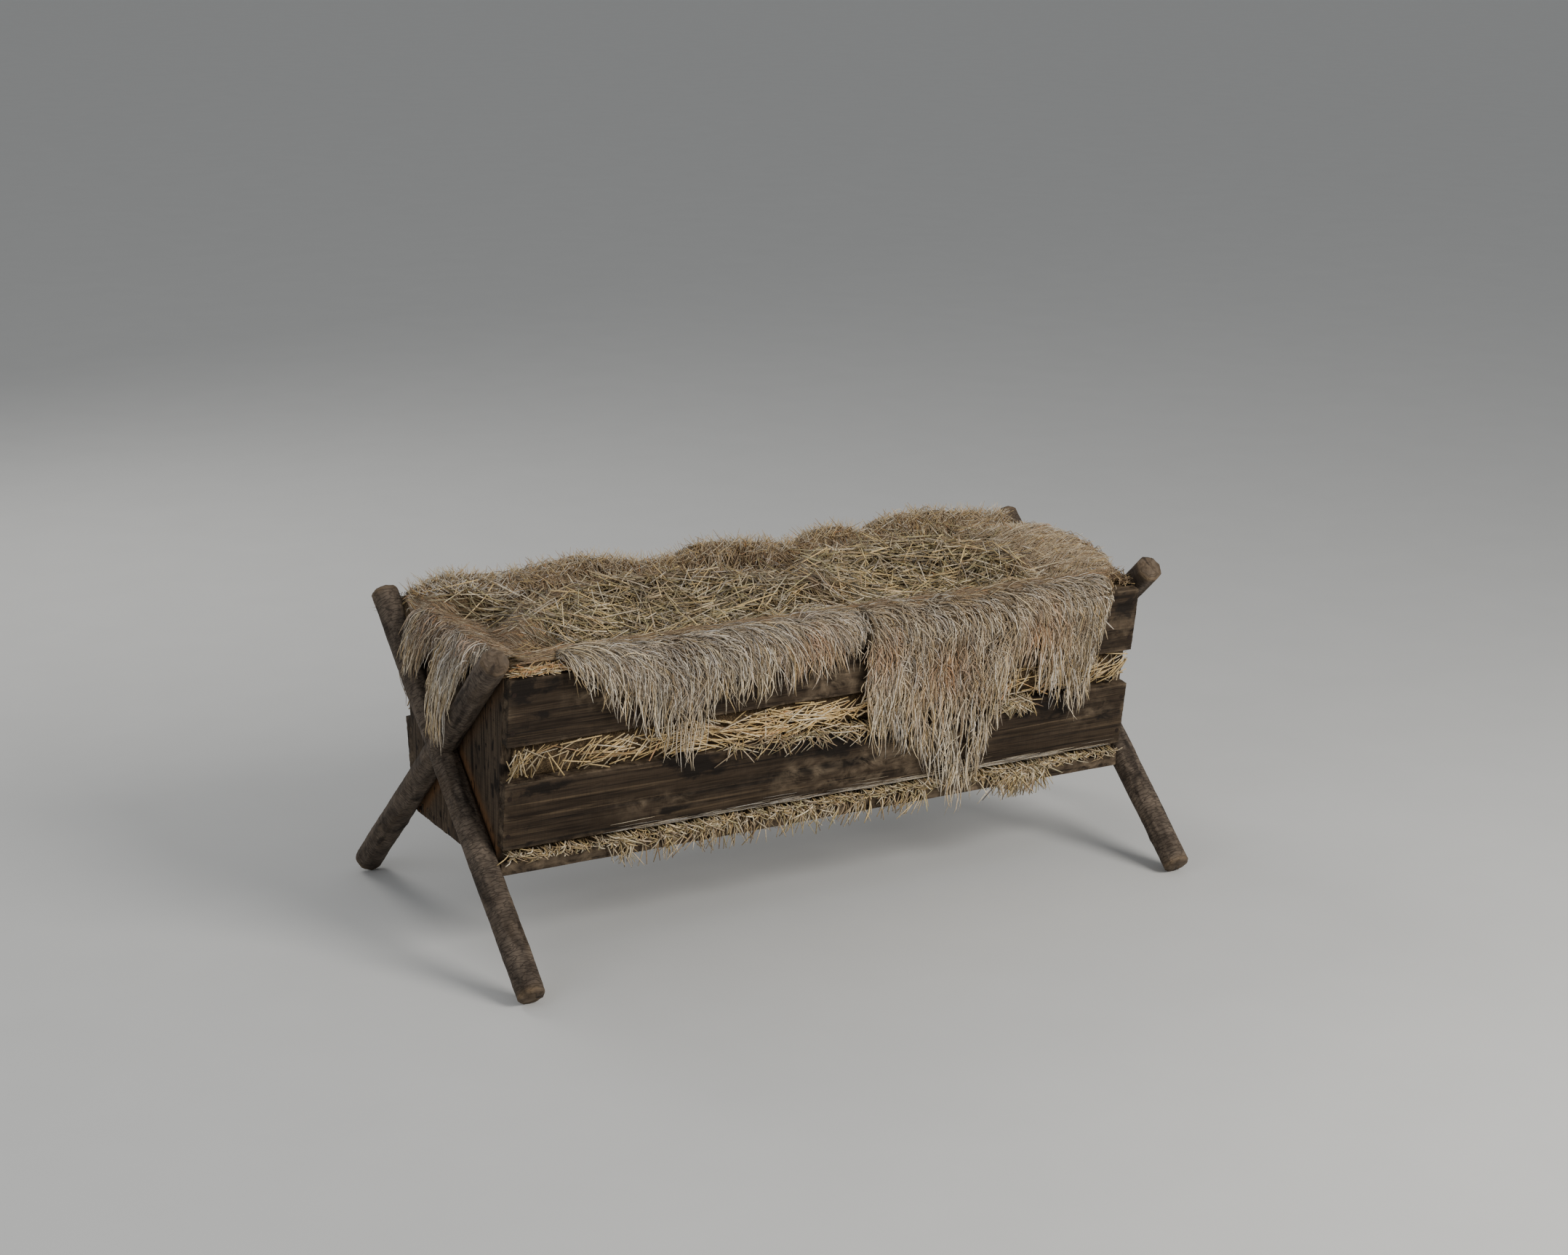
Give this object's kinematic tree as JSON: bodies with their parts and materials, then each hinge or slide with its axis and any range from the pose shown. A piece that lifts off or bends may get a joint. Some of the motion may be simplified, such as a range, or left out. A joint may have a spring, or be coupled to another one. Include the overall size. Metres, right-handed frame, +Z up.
{
  "type": "hay rack feeder",
  "caption": "Free-standing hay rack feeder for small livestock: a slatted plank trough with leaning sides on crossed pole legs, heaped with loose hay.",
  "frame": {"origin": "on the ground, under the middle of the trough, between the four feet", "axes": "+X along the trough, +Y across it towards the back, +Z up"},
  "size_m": [1.293, 0.726, 0.555],
  "materials": {
    "plank_wood": "weathered, rough sawn",
    "floor_wood": "weathered, rough sawn",
    "end_wood": "weathered, rough sawn",
    "pole_wood": "weathered bark, rough",
    "nail_steel": "dull, lightly rusted",
    "hay": "dry straw, matt with a faint sheen",
    "pale_hay": "dry combed straw, matt with a faint sheen"
  },
  "bodies": {
    "root": {"left_pole_outer": "pole_wood", "left_pole_inner": "pole_wood", "right_pole_outer": "pole_wood", "right_pole_inner": "pole_wood", "left_end_board_front": "end_wood", "left_end_board_middle": "end_wood", "left_end_board_back": "end_wood", "right_end_board_front": "end_wood", "right_end_board_middle": "end_wood", "right_end_board_back": "end_wood", "front_upper_plank": "plank_wood", "front_lower_plank": "plank_wood", "back_upper_plank": "plank_wood", "back_lower_plank": "plank_wood", "floor_board_front": "floor_wood", "floor_board_middle": "floor_wood", "floor_board_back": "floor_wood", "plank_nails": "nail_steel", "floor_nails": "nail_steel", "pole_nails": "nail_steel", "hay_bed": "hay", "hay_heap": "hay", "front_gap_hay": "hay", "back_gap_hay": "hay", "front_drape_left": "pale_hay", "front_drape_right": "pale_hay", "back_drape": "pale_hay", "left_end_hay": "pale_hay", "right_end_hay": "pale_hay"}
  },
  "joints": []
}
